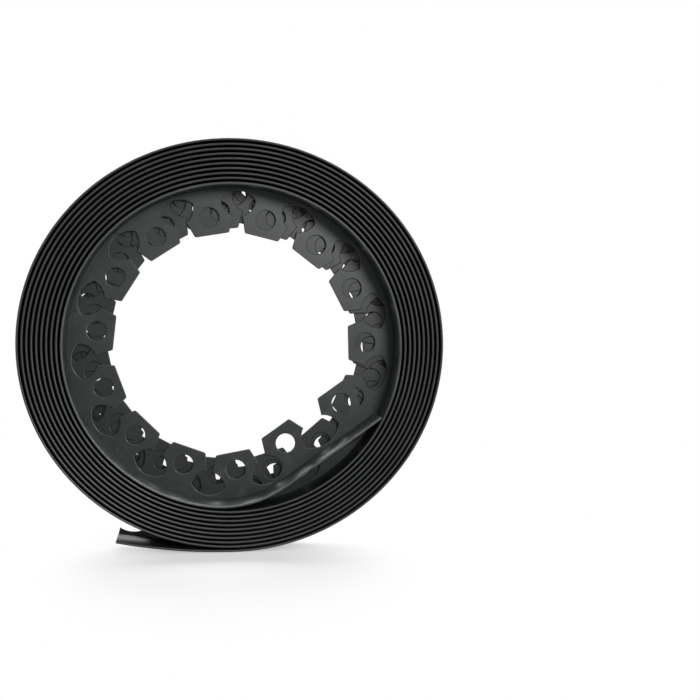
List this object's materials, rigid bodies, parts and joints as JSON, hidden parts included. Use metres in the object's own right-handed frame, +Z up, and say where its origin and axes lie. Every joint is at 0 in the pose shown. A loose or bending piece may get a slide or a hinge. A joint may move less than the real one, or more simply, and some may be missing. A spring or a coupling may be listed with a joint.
{
  "type": "plastic lawn edging",
  "caption": "Roll of L-shaped plastic lawn edging that stands on its rim, with the flange wound inwards and punched into tabs with holes for ground pegs.",
  "frame": {"origin": "bottom centre of the roll's box, on the floor that it stands on", "axes": "+Z up, +Y along the roll's axis from the wall's free edge towards the flange, so that the open side of the roll faces -Y"},
  "size_m": [0.3566, 0.06, 0.3471],
  "materials": {
    "black_plastic": "satin"
  },
  "bodies": {
    "root": {"edging_roll": "black_plastic"}
  },
  "joints": []
}
